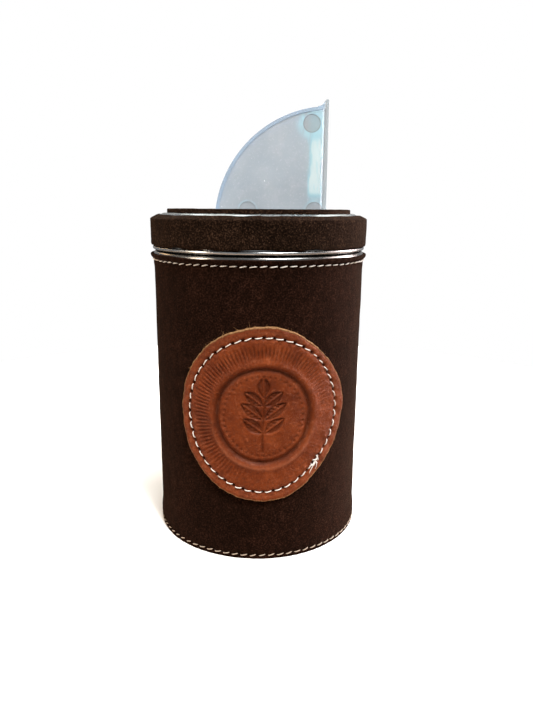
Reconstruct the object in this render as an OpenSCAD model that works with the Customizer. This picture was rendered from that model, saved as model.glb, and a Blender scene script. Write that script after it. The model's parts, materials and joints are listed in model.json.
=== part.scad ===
// Leather-covered tin canister with a slip-on lid and a fold-down pouring spout.
// Origin: centre of the base on the table, +Z up. The spout stands open and pours towards +X,
// and the stitched leather patch faces -Y.

/* [Canister] */
// Height from the table to the top of the lid leather
total_h = 162; // [140:1:200]
// Outside diameter of the tin can
can_d = 100.6; // [100:0.2:120]
// Thickness of the tinplate
tin = 0.35; // [0.25:0.05:0.5]

/* [Leather] */
// Thickness of the suede sleeve round the can
sleeve_t = 1.6; // [1.2:0.1:2]
// Thickness of the suede on the lid
lid_suede_t = 2.1; // [1.5:0.1:2.4]
// Thickness of the sole-leather disc under the can
base_t = 3.8; // [3:0.1:5]
// Diameter of the round leather patch, measured along the curved sleeve
patch_d = 82; // [60:1:90]
// Thickness of the patch leather
patch_t = 2; // [1.5:0.1:2.5]
// Height of the middle of the patch
patch_z = 71.7; // [60:0.1:85]
// How far round from -Y the patch was sewn on, in degrees
patch_turn = 2.7; // [-5:0.1:5]

/* [Stitching] */
// Stitches in each row round the sleeve
row_stitches = 75; // [60:1:90]
// Stitches round the patch
patch_stitches = 48; // [36:1:60]
// Stitches in the lapped seam at the back
back_stitches = 30; // [20:1:32]
// Diameter of the thread
thread_d = 0.8; // [0.5:0.1:1]
// How far the stitches of the top row rise towards the right, in degrees
top_slant = 9; // [0:1:15]
// The same for the bottom row
bottom_slant = 13; // [0:1:15]
// How far each stitch of the patch is turned anticlockwise from the ring, in degrees
patch_slant = 9; // [0:1:15]

/* [Spout] */
// Radius of the quarter-round cheeks
spout_r = 54; // [48:0.5:56]
// Width of the spout over its cheeks
spout_w = 24; // [20:1:26]
// Thickness of the cheeks
cheek_t = 1.4; // [1.2:0.1:2]
// Thickness of the pouring plate
plate_t = 1.6; // [1.4:0.1:2]
// Distance of the hinge line from the can's axis
pivot_x = 32.8; // [32:0.1:33]
// Depth of the hinge line below the top of the lid leather
pivot_drop = 7.8; // [7.6:0.1:8]

/* [Hidden] */
$fn = 96;
gap = 0.05;        // glue line between pieces that are fixed to each other
play = 0.35;       // clearance between the lid and the can's neck

can_r = can_d / 2;
sleeve_in_r = can_r + gap;
foot_in_r = can_r + tin + 3 * gap;      // the sleeve clears the can's bottom seam
seam_h = 3.2;                           // height of the can's bottom seam

disc_t = lid_suede_t - 0.1;             // suede disc on the lid, pressed a little thinner
z_panel = total_h - disc_t;             // top of the lid's tin panel
z_hem = z_panel - 16.2;                 // centre of the lid's curled hem
z_bead = z_hem - 3;                     // centre of the can's stop bead
bead_r = 1.7;
z_mouth = z_panel - 2.7;                // centre of the can's curled mouth
curl_r = 0.7;
z_can = base_t + gap;                   // bottom of the can

lid_r = can_r + play + tin;             // outside of the lid's skirt
hem_r = 0.9;                            // curled hem round the lid's mouth
shoulder_w = 4.2;
shoulder_h = 1.8;
panel_r = lid_r - shoulder_w;
band_r = lid_r + gap + lid_suede_t;     // outside of the lid's suede band
disc_r = panel_r - 1.6;

flap_w = 12;                            // lapped end of the sleeve at the back
flap_t = 0.8;
z_sleeve = z_bead + 0.3;                // top edge of the sleeve
row_top_z = z_sleeve - 2.8;             // top and bottom rows of stitching
row_bottom_z = 2;
row_top_r = sleeve_in_r + sleeve_t + 0.35;
row_bottom_r = foot_in_r + sleeve_t;
patch_in_r = sleeve_in_r + sleeve_t + gap;
patch_stitch_inset = 4.6;

pivot_z = total_h - pivot_drop;
plate_u = -0.7;                         // outer face of the pouring plate, from the hinge line
boss_r = 3.2;                           // round the hinge
barrel_r = 2.4;                         // rolled lower end of the plate
stud_r = 1.5;
stud_play = 0.06;
side_play = 0.4;                        // between a cheek and the frame's side wall
lip_r = 0.75;                           // rounded tip of the pouring lip
lip_v = spout_r + 2.2;                  // height of the lip's tip centre above the hinge
foot_drop = 8;                          // how far the cheeks' far end reaches below the hinge
stop_w = 2.4;
rim_w = 1.4;                            // raised rim round the cheek's face
rim_h = 0.25;
mark_r = 4;                             // round moulding marks on the cheek
marks = [[-8.3, 46.5], [-6.4, 7.2], [-38.2, 7.3]];
corner_r = 3;                           // fillet inside the corner of cheek and plate

wall_t = 1.6;                           // spout frame
flange_t = 1.2;
flange_w = 2.2;
well_y = spout_w / 2 + side_play;
frame_y = well_y + wall_t;
frame_u0 = -spout_r - 6.5;              // outer face of the finger end of the frame, from the hinge line
frame_u1 = boss_r + 1 + wall_t;         // outer face of the hinge end
ledge_v = -5.8;                         // underside of the frame

// Colours
tin_c = [0.72, 0.73, 0.74];
suede_c = [0.16, 0.10, 0.07];
sole_c = [0.35, 0.21, 0.12];
patch_c = [0.58, 0.28, 0.15];
thread_c = [0.87, 0.83, 0.76];
plastic_c = [0.80, 0.86, 0.90];

// ---- the can ----

// Straight wall with an outward stop bead for the lid and a mouth curled inwards.
module can_profile() {
    difference() {
        union() {
            translate([can_r - tin, z_can + tin + gap]) square([tin, z_mouth - z_can - tin - gap]);
            translate([can_r, z_bead]) circle(bead_r);
            translate([can_r - curl_r, z_mouth]) circle(curl_r);
        }
        translate([can_r, z_bead]) circle(bead_r - tin);
        translate([can_r - tin - 2 * bead_r, z_bead - bead_r]) square([2 * bead_r, 2 * bead_r]);
        translate([can_r - curl_r, z_mouth]) circle(curl_r - tin);
        translate([can_r - 2 * curl_r - 0.1, z_mouth - curl_r]) square([curl_r, curl_r]);
    }
}

// Lapped and soldered side seam, a strip inside the back of the can.
module can_side_seam() {
    seam_w = 6;
    intersection() {
        difference() {
            translate([0, 0, z_can + 5]) cylinder(h = z_bead - z_can - 8, r = can_r - tin / 2);
            translate([0, 0, z_can]) cylinder(h = z_bead, r = can_r - 2 * tin);
        }
        translate([-seam_w / 2, 0, 0]) cube([seam_w, can_d, total_h]);
    }
}

module can_body() {
    color(tin_c) {
        rotate_extrude() can_profile();
        can_side_seam();
    }
}

// Can end whose channel is folded round the foot of the can's wall.
module can_base() {
    channel_in = can_r - 2 * tin - gap;
    bead_at = 36;
    color(tin_c) rotate_extrude() difference() {
        union() {
            translate([channel_in, z_can]) square([foot_in_r - gap - channel_in, tin]);
            translate([can_r + gap, z_can]) square([tin, seam_h]);
            translate([channel_in, z_can]) square([tin, seam_h + 0.5]);
            translate([0, z_can + seam_h + 0.5 - tin]) square([channel_in + tin, tin]);
            translate([bead_at, z_can + seam_h + 0.5 - tin]) circle(1.2);
        }
        translate([bead_at, z_can + seam_h + 0.5 - tin]) circle(1.2 - tin);
        translate([bead_at - 2, z_can]) square([4, seam_h + 0.5 - tin]);
    }
}

// ---- the leather cover ----

module base_disc() {
    color(sole_c) cylinder(h = base_t, r = foot_in_r - gap);
}

// The sleeve stands off over the bottom seam and flares over the stop bead.
module sleeve_profile() {
    flare_r = can_r + bead_r + 2 * gap;
    polygon([
        [foot_in_r, 0], [foot_in_r, 7], [sleeve_in_r, 10.5],
        [sleeve_in_r, row_top_z - 0.6], [flare_r, z_sleeve - 0.6], [flare_r, z_sleeve],
        [flare_r + sleeve_t - 0.1, z_sleeve], [row_top_r, row_top_z],
        [sleeve_in_r + sleeve_t, row_top_z - 3.4], [sleeve_in_r + sleeve_t, 10.5],
        [foot_in_r + sleeve_t, 7], [foot_in_r + sleeve_t, 0]
    ]);
}

module sleeve() {
    color(suede_c) union() {
        rotate_extrude() sleeve_profile();
        intersection() {
            rotate_extrude() translate([flap_t, 0]) sleeve_profile();
            translate([-flap_w / 2, 0, 0]) cube([flap_w, can_d, total_h]);
        }
    }
}

// Outline of a flat disc of radius r once it is wrapped on a cylinder of radius wrap_r, seen from the front.
function wrapped(r, wrap_r, n = 72) =
    [for (i = [0:n - 1]) let (a = 360 * i / n) [wrap_r * sin(r * cos(a) / wrap_r * 180 / PI), r * sin(a)]];

module patch() {
    out_r = patch_in_r + patch_t;
    color(patch_c) rotate([0, 0, patch_turn]) intersection() {
        difference() {
            translate([0, 0, patch_z - patch_d]) cylinder(h = 2 * patch_d, r = out_r);
            translate([0, 0, patch_z - patch_d - 1]) cylinder(h = 2 * patch_d + 2, r = patch_in_r);
        }
        translate([0, 0, patch_z]) rotate([90, 0, 0]) linear_extrude(can_d)
            polygon(wrapped(patch_d / 2, out_r));
    }
}

// ---- the thread ----

// One stitch lying flat on a cylinder of radius r, turned anticlockwise from the level by slant.
module stitch(r, angle, z, length, slant = 0) {
    rotate([0, 0, angle]) translate([0, -r - thread_d / 2, z]) rotate([0, -slant, 0])
        rotate([0, 90, 0]) cylinder(h = length, r = thread_d / 2, center = true, $fn = 16);
}

// A level row round the sleeve; the stitches at the back stand off over the lapped seam.
module stitch_row(r, z, slant) {
    pitch = 2 * PI * r / row_stitches;
    lap = asin((flap_w / 2 + pitch) / r);
    for (i = [0:row_stitches - 1]) {
        a = (i + 0.5) * 360 / row_stitches;
        lift = abs(a - 180) < lap ? flap_t : 0;
        stitch(r + lift, a, z, 0.7 * pitch, slant);
    }
}

module stitching_top() {
    color(thread_c) stitch_row(row_top_r + 0.15, row_top_z, top_slant);
}

module stitching_bottom() {
    color(thread_c) stitch_row(row_bottom_r, row_bottom_z, bottom_slant);
}

// Upright row through the lapped end of the sleeve.
module stitching_back() {
    z0 = 14;
    pitch = (z_bead - 9 - z0) / back_stitches;
    color(thread_c) for (i = [0:back_stitches - 1])
        stitch(sleeve_in_r + sleeve_t + flap_t + gap, 180 + 3.5, z0 + (i + 0.5) * pitch, 0.7 * pitch, 86);
}

module stitching_patch() {
    ring_r = patch_d / 2 - patch_stitch_inset;
    pitch = 2 * PI * ring_r / patch_stitches;
    on_r = patch_in_r + patch_t;
    color(thread_c) for (i = [0:patch_stitches - 1]) {
        a = (i + 0.5) * 360 / patch_stitches;
        stitch(on_r + gap, patch_turn + ring_r * cos(a) / on_r * 180 / PI,
               patch_z + ring_r * sin(a), 0.7 * pitch, a - 90 + patch_slant);
    }
}

// ---- the lid ----

// Window in the lid for the spout frame, grown by more than the frame's walls.
module frame_window(more) {
    translate([pivot_x + frame_u0 - more, -frame_y - more, z_panel - 10])
        cube([frame_u1 - frame_u0 + 2 * more, 2 * (frame_y + more), 20]);
}

// Points along an arc of radius r about [x, z].
function arc(x, z, r, from, to, steps = 24) =
    [for (i = [0:steps]) let (a = from + (to - from) * i / steps) [x + r * cos(a), z + r * sin(a)]];

// Flat panel, sloping shoulder and a skirt whose lower edge is curled outwards.
module lid_shell() {
    z_skirt = z_panel - shoulder_h;
    hem_x = lid_r + hem_r - tin;
    curl_end = 460;
    color(tin_c) difference() {
        rotate_extrude() polygon(concat(
            [[0, z_panel], [panel_r, z_panel], [lid_r, z_skirt]],
            arc(hem_x, z_hem, hem_r - tin, 180, curl_end),
            arc(hem_x, z_hem, hem_r, curl_end, 180),
            [[lid_r - tin, z_skirt - tin / 2], [panel_r, z_panel - tin], [0, z_panel - tin]]
        ));
        frame_window(0.2);
    }
}

// Suede round the skirt, its top edge pared thin and turned in over the shoulder.
module lid_band() {
    in_r = lid_r + gap;
    lap_r = lid_r - 1.4;
    z_edge = z_hem + hem_r + 2 * gap;
    z_skirt = z_panel - shoulder_h;
    lap_z = z_panel - shoulder_h * (lap_r - panel_r) / shoulder_w + gap;
    color(suede_c) rotate_extrude() polygon([
        [in_r, z_edge], [in_r, z_skirt + gap], [lap_r, lap_z], [lap_r, lap_z + 0.35],
        [band_r - 1.2, z_skirt + 0.15], [band_r - 0.3, z_skirt - 0.5], [band_r, z_skirt - 1.4],
        [band_r, z_edge + 0.5], [band_r - 0.3, z_edge]
    ]);
}

module round_rect(x0, x1, half_y, r) {
    translate([x0 + r, -half_y]) square([x1 - x0 - 2 * r, 2 * half_y]);
    translate([x0, -half_y + r]) square([x1 - x0, 2 * (half_y - r)]);
    for (x = [x0 + r, x1 - r], y = [-half_y + r, half_y - r])
        translate([x, y]) circle(r);
}

module flange_outline(more) {
    round_rect(pivot_x + frame_u0 - flange_w - more, pivot_x + frame_u1 + flange_w - 0.2 + more,
               frame_y + flange_w + more, 3 + more);
}

module lid_disc() {
    color(suede_c) translate([0, 0, z_panel]) linear_extrude(disc_t) difference() {
        circle(disc_r);
        flange_outline(0.4);
    }
}

// ---- the spout ----

// Lays a drawing whose origin is the hinge line, u along +X and v up, in the plane y = y0, with thickness t.
module upright(y0, t) {
    translate([pivot_x, y0 + t, pivot_z]) rotate([90, 0, 0]) linear_extrude(t) children();
}

// Well that the folded spout sinks into: flange on the tin, four walls, and a ledge that
// meets the lip when the spout is folded and stops the cheeks' feet when it is open.
module spout_frame() {
    top_v = z_panel + flange_t - pivot_z;
    color(plastic_c) difference() {
        union() {
            translate([0, 0, z_panel]) linear_extrude(flange_t) flange_outline(0);
            translate([pivot_x + frame_u0, -frame_y, pivot_z + ledge_v])
                cube([frame_u1 - frame_u0, 2 * frame_y, top_v - ledge_v - 0.5]);
            for (x = [-12, 18], side = [-1, 1])
                translate([x, side > 0 ? frame_y - 0.5 : -frame_y - 0.7, z_panel - tin - 1.3])
                    cube([10, 1.2, 1.2]);
        }
        upright(-well_y, 2 * well_y) polygon([
            [frame_u0 + wall_t, top_v + 1], [frame_u1 - wall_t, top_v + 1],
            [frame_u1 - wall_t, ledge_v - 1], [-spout_r - 0.15, ledge_v - 1],
            [-spout_r - 0.15, ledge_v + 0.3], [-spout_r - 3.4, -2.8], [frame_u0 + wall_t, -2.8]
        ]);
        translate([pivot_x, -frame_y - 1, pivot_z]) rotate([-90, 0, 0])
            cylinder(h = 2 * frame_y + 2, r = stud_r + stud_play);
    }
}

// Concave beak that carries the cheek's edge out to the rounded lip.
module lip_outline(u0) {
    difference() {
        translate([u0, spout_r - 2]) square([plate_u - u0, lip_v - spout_r + 2]);
        translate([plate_u - 4.9, spout_r + 3.2]) circle(3.2);
    }
    translate([plate_u - lip_r, lip_v]) circle(lip_r);
}

// Quarter-round cheek with its hinge boss, its lip and a foot that hooks under the frame's ledge.
module cheek_outline() {
    slope = (foot_drop - boss_r) / spout_r;
    intersection() {
        circle(spout_r, $fn = 200);
        polygon([[plate_u, spout_r + 1], [plate_u, 0], [0, -boss_r],
                 [-spout_r - 6, -boss_r - slope * (spout_r + 6)], [-spout_r - 6, spout_r + 1]]);
    }
    circle(boss_r);
    lip_outline(plate_u - 4.9);
    translate([-spout_r + 0.5 - stop_w, -foot_drop]) square([stop_w + 0.5, 1.8]);
}

// Pouring plate from its rolled lower end up to the lip.
module plate_outline() {
    translate([plate_u - plate_t, 0]) square([plate_t, lip_v]);
    translate([plate_u - lip_r, lip_v]) circle(lip_r);
    circle(barrel_r);
}

// The cheek's face inside its rim.
module face_outline() {
    in_u = plate_u - plate_t;
    intersection() {
        circle(spout_r - rim_w, $fn = 200);
        polygon([[in_u, spout_r], [in_u, boss_r], [-2 * boss_r, 0], [-spout_r, -boss_r], [-spout_r, spout_r]]);
    }
}

// Sinks a drawing by depth into the outer face of the cheek on that side.
module sunk(side, depth) {
    upright(side > 0 ? spout_w / 2 - depth : -spout_w / 2 - 1, depth + 1) children();
}

// Round fillet up the inside corner between the cheek and the plate.
module corner_fillet(side) {
    corner_u = plate_u - plate_t - corner_r;
    corner_y = spout_w / 2 - cheek_t - corner_r;
    translate([pivot_x, 0, pivot_z + barrel_r]) linear_extrude(spout_r - 1 - barrel_r) difference() {
        translate([corner_u, side > 0 ? corner_y : -corner_y - corner_r - 0.1])
            square([corner_r + 0.1, corner_r + 0.1]);
        translate([corner_u, side * corner_y]) circle(corner_r);
    }
}

// side is -1 for the half on the -Y side and 1 for the other; they are welded along the plate's middle.
module spout_half(side) {
    outer = spout_w / 2;
    color(plastic_c) difference() {
        union() {
            upright(side > 0 ? outer - cheek_t : -outer, cheek_t) cheek_outline();
            upright(side > 0 ? 0 : -outer, outer) plate_outline();
            corner_fillet(side);
            translate([pivot_x, side * (outer - 0.5), pivot_z]) rotate([-90 * side, 0, 0])
                cylinder(h = side_play + wall_t + 0.5 - 0.15, r = stud_r);
        }
        sunk(side, rim_h) face_outline();
        for (mark = marks)
            sunk(side, 2 * rim_h) translate(mark) circle(mark_r);
    }
}

can_body();
can_base();
base_disc();
sleeve();
patch();
stitching_top();
stitching_bottom();
stitching_back();
stitching_patch();
lid_shell();
lid_band();
lid_disc();
spout_frame();
spout_half(-1);  // spout_front_half
spout_half(1);  // spout_rear_half
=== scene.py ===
import json
from math import atan, atan2, ceil, copysign, cos, pi, radians, sin, sqrt, tan

import bmesh
import bpy
import numpy as np
from mathutils import Matrix, Vector


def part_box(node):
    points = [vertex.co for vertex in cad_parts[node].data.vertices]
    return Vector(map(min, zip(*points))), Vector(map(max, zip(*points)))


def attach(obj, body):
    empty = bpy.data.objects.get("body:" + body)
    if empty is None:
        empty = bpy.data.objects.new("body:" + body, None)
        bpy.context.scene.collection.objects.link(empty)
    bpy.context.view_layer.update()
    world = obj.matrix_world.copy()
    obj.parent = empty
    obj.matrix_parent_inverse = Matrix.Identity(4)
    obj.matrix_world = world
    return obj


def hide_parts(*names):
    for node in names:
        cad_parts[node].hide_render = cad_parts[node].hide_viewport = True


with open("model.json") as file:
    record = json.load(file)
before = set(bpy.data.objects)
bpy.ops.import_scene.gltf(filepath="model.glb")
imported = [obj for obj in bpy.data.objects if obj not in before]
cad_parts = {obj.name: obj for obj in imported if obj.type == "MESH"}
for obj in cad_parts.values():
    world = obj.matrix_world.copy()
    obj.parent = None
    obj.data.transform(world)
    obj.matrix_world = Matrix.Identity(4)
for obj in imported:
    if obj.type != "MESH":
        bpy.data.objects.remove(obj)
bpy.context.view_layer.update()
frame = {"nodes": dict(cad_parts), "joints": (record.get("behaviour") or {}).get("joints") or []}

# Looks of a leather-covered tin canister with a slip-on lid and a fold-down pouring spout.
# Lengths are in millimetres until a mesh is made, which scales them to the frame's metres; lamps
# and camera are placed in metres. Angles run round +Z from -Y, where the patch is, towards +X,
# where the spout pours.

MM = 0.001
TURN = 2 * pi


def node_box(*nodes):
    """Lowest and highest corner of some CAD nodes together, in millimetres."""
    boxes = [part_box(node) for node in nodes]
    low = np.min([np.array(low) for low, _ in boxes], axis=0) / MM
    high = np.max([np.array(high) for _, high in boxes], axis=0) / MM
    return low, high


def middle_z(node):
    low, high = node_box(node)
    return (low[2] + high[2]) / 2


# ---- sizes ----

TIN = 0.35
CAN_R = 50.3
SLEEVE_IN_R = CAN_R + 0.05
SLEEVE_R = SLEEVE_IN_R + 1.6
FOOT_IN_R = 50.8
FOOT_R = FOOT_IN_R + 1.6
FOOT_Z = 7  # the sleeve stands off over the can's bottom seam up to here
WAIST_Z = 10.5  # and lies on the can's wall from here on
SLEEVE_TOP = node_box("sleeve")[1][2]
ROW_TOP_Z = middle_z("stitching_top")
ROW_BOTTOM_Z = middle_z("stitching_bottom")
ROW_STITCHES = 75
ROW_REACH = 4.5  # how far a row of stitches puckers the leather above and below it
FLARE_IN_R = CAN_R + 1.8  # round the can's stop bead
FLARE_R = FLARE_IN_R + 1.5
LAP_HALF = 6.0  # half width of the lapped seam at the back
LAP_T = 0.8
LAP_EDGE = 0.1  # how far past the lap its pale cut edge shows
BACK_SEAM = pi + radians(3.5)
BACK_STITCHES = 30

PATCH_Z = middle_z("patch")
PATCH_BACK_R = SLEEVE_R + 0.05
PATCH_T = 2.0
PATCH_WRAP_R = PATCH_BACK_R + PATCH_T
PATCH_TURN = radians(2.7)
PATCH_R = 41.0
PATCH_SEAM_R = 36.4
PATCH_STITCHES = 48
PATCH_SIDE = 250  # points along each side of the grid that is bent into the patch
CURL_FROM_R = 39.2  # the patch's edge curls up from here
ROUND_FROM_R = 40.3  # and is rounded off from here
CUT_FROM_R = 40.75  # its raw cut edge starts here
KNOT = radians(-43)  # where the sewn ring ends
# Stitches of the backtack there: radians along the ring, mm across it, lean in degrees.
BACKTACK = ((-0.03, 0.5, 25), (0.02, -0.4, -35), (0.05, 0.3, 60), (-0.06, 0.0, -10), (0.0, 0.8, 85))
# Loose ends: bend in radians, length in mm, heading in degrees.
LOOSE_ENDS = ((0.35, 7.0, -128), (-0.9, 4.2, -60), (0.8, 3.2, 40))
FIBRES = 46
RING_R = 21.9  # groove pressed round the middle of the patch
RAY_R = 29.6
RAYS = 110
BEAD_RING_R = 18.6
BEADS = 44
PLATE_DEPTH = 0.50
RING_DEPTH = 0.85
RAY_DEPTH = 0.62
BEAD_DEPTH = 0.42
CREASE_TURN = np.array([[0.7, 0.25, 0], [-0.25, 0.7, 0], [0, 0, 1]])
THREAD_R = 0.35

LID_TOP = node_box("lid_disc")[1][2]
PANEL_Z = node_box("lid_disc")[0][2]
LID_R = 51.0
PANEL_R = 46.8
SHOULDER_H = 1.8
BAND_IN_R = LID_R + 0.05
BAND_R = node_box("lid_band")[1][1]
BAND_LOW = node_box("lid_band")[0][2]
DISC_R = 45.2
HEM_R = 0.9
HEM_Z = node_box("lid_shell")[0][2] + HEM_R
BEAD_R = 1.7
MOUTH_R = 0.7
MOUTH_TOP = node_box("can_body")[1][2]
CAN_BOTTOM = node_box("can_body")[0][2]
BASE_T = node_box("base_disc")[1][2]
SEAM_H = 3.2  # height of the fold round the can's foot
END_Z = 3.7  # how far the can's end lies above its foot
END_RING_R = 33  # ring pressed into the can's end

SPOUT_R = 54.0  # of the cheeks, from the hinge
MARK_R = 4.0
# Round moulding marks: place from the hinge, reach of the painted highlight halo, strength of the halo.
SPOUT_MARKS = (((-8.3, 46.5), 8.5, 0.95), ((-6.4, 7.2), 6.0, 0.8), ((-38.2, 7.3), 5.2, 0.45))
HINGE = next(np.array(j["pos_m"]) / MM for j in frame["joints"] if j["name"] == "spout_hinge")

FLOOR_GLOW = (0.44, 0.34, 0.26)  # what the floor throws back up, less than it shows
EYE = (0, -0.30545, 0.16227)  # where the camera stands, in metres


# ---- number helpers ----

def waves(points, wavelength, seed, count=18):
    """Smooth random bumps from about -1 to 1 at these points, the same in every run."""
    rng = np.random.default_rng(seed)
    directions = unit(rng.normal(size=(count, 3)))
    lengths = wavelength * rng.uniform(0.7, 1.5, count)
    phases = rng.uniform(0, TURN, count)
    flat = np.reshape(points, (-1, 3))
    total = np.zeros(len(flat))
    for direction, length, phase in zip(directions, lengths, phases):
        total += np.sin(flat @ direction * (TURN / length) + phase)
    return (total / sqrt(count)).reshape(np.shape(points)[:-1])


def bell(x, width):
    """A smooth bump, 1 at x = 0."""
    return np.exp(-(x / width) ** 2)


def step(x, width):
    """A smooth step from 0 to 1 at x = 0."""
    return 0.5 + 0.5 * np.tanh(x / width)


def unit(vectors):
    return vectors / np.linalg.norm(vectors, axis=1)[:, None]


def all_round(count):
    return np.linspace(0, TURN, count, endpoint=False)


def off_nearest(phase):
    """How far each number is from the nearest whole one."""
    return phase - np.round(phase)


def around(angle, radius, z):
    """Points (x, y, z) at these angles from -Y."""
    angle, radius, z = np.broadcast_arrays(angle, radius, z)
    return np.stack([radius * np.sin(angle), -radius * np.cos(angle), z], axis=-1)


def rounded(corners, spacing):
    """Closed outline through corners (x, y, radius). Sides are cut every spacing(x, y) mm."""
    count = len(corners)
    path = []
    for i in range(count):
        before, here, after = (np.array(corners[(i + k) % count][:2], float) for k in (-1, 0, 1))
        radius = corners[i][2]
        into, out = here - before, after - here
        into, out = into / np.linalg.norm(into), out / np.linalg.norm(out)
        turn = atan2(into[0] * out[1] - into[1] * out[0], into @ out)
        if radius == 0 or abs(turn) < 0.02:
            path.append(here)
            continue
        back = radius * abs(tan(turn / 2))
        side = copysign(1, turn)
        centre = here - into * back + side * radius * np.array([-into[1], into[0]])
        start = here - into * back - centre
        steps = max(2, ceil(abs(turn) / 0.35))
        for k in range(steps + 1):
            c, s = cos(turn * k / steps), sin(turn * k / steps)
            path.append(centre + np.array([c * start[0] - s * start[1], s * start[0] + c * start[1]]))
    points = []
    for here, after in zip(path, path[1:] + path[:1]):
        length = np.linalg.norm(after - here)
        cuts, run = [0.0], spacing(*here)
        while run < length:
            cuts.append(run)
            run += spacing(*(here + (after - here) * run / length))
        cuts = np.array(cuts) * length / run if len(cuts) > 1 else np.array(cuts)
        points.extend(here + (after - here) * cut / length for cut in cuts if length > 1e-6)
    return np.array(points)


# ---- mesh helpers ----

def grid_faces(rows, columns, close_rows=True, close_columns=True):
    """Quads of a grid of points, joined up where it closes."""
    i = np.arange(rows if close_rows else rows - 1)
    j = np.arange(columns if close_columns else columns - 1)
    i, j = np.meshgrid(i, j, indexing="ij")
    i2, j2 = (i + 1) % rows, (j + 1) % columns
    quads = [i * columns + j, i2 * columns + j, i2 * columns + j2, i * columns + j2]
    return np.stack(quads, axis=-1).reshape(-1, 4)


def dress(piece, body, slot, material, stands_for=()):
    """Gives a piece its body and material, and hides the CAD nodes it stands for. slot is not used."""
    piece.data.materials.clear()
    piece.data.materials.append(material)
    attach(piece, body)
    if stands_for:
        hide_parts(*stands_for)
    return piece


def placed(name, data):
    """An object of this mesh, light or camera, put in the scene."""
    made = bpy.data.objects.new(name, data)
    bpy.context.scene.collection.objects.link(made)
    return made


def mesh_piece(name, points, faces, body, slot, material, stands_for=(), **values):
    """A smooth piece from points in millimetres. values are numbers stored at the points."""
    mesh = bpy.data.meshes.new(name)
    mesh.from_pydata((np.reshape(points, (-1, 3)) * MM).tolist(), [], [list(f) for f in faces])
    for key, numbers in values.items():
        layer = mesh.attributes.new(key, "FLOAT", "POINT")
        layer.data.foreach_set("value", np.ravel(numbers).astype(np.float32))
    work = bmesh.new()
    work.from_mesh(mesh)
    bmesh.ops.recalc_face_normals(work, faces=work.faces)
    work.to_mesh(mesh)
    work.free()
    mesh.shade_smooth()
    return dress(placed(name, mesh), body, slot, material, stands_for)


def profile_normals(profile):
    """Outward normals of a closed anticlockwise profile."""
    along = unit(np.roll(profile, -1, axis=0) - np.roll(profile, 1, axis=0))
    return np.stack([along[:, 1], -along[:, 0]], axis=1)


def lathe(profile, angles, push=None):
    """Turns a profile (r, z) round Z. push(angle, r, z) moves its outer side along the normal."""
    normals = profile_normals(profile)
    angle, r = np.meshgrid(angles, profile[:, 0], indexing="ij")
    z = np.broadcast_to(profile[:, 1], r.shape)
    if push is not None:
        out = push(angle, r, z) * np.clip(normals[:, 0] * 2, 0, 1)
        r, z = r + out * normals[:, 0], z + out * normals[:, 1]
    return around(angle, r, z), grid_faces(*r.shape)


def join(parts):
    """Joins (points, faces) pairs into one pair."""
    points, faces, start = [], [], 0
    for more_points, more_faces in parts:
        more_points = np.reshape(more_points, (-1, 3))
        points.append(more_points)
        faces.extend([index + start for index in face] for face in more_faces)
        start += len(more_points)
    return np.concatenate(points), faces


def tube(path, radius, sides=12, plies=3, turns=2.5):
    """A twisted thread along a path. radius may hold one number for each point."""
    path = np.array(path, float)
    along = unit(np.gradient(path, axis=0))
    side = unit(np.cross(along, [0.13, 0.21, 0.97]))
    up = np.cross(side, along)
    spin = np.linspace(0, TURN * turns, len(path))[:, None]
    phi = all_round(sides)[None, :]
    r = np.broadcast_to(radius, len(path))[:, None] * (0.87 + 0.13 * np.cos(plies * (phi - spin)))
    across = side[:, None] * (r * np.cos(phi))[..., None]
    above = up[:, None] * (r * np.sin(phi))[..., None]
    rings = path[:, None] + across + above
    faces = [list(f) for f in grid_faces(len(path), sides, close_rows=False)]
    faces.append(list(range(sides))[::-1])
    faces.append([len(path) * sides - sides + k for k in range(sides)])
    return rings.reshape(-1, 3), faces


# ---- materials ----

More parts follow.
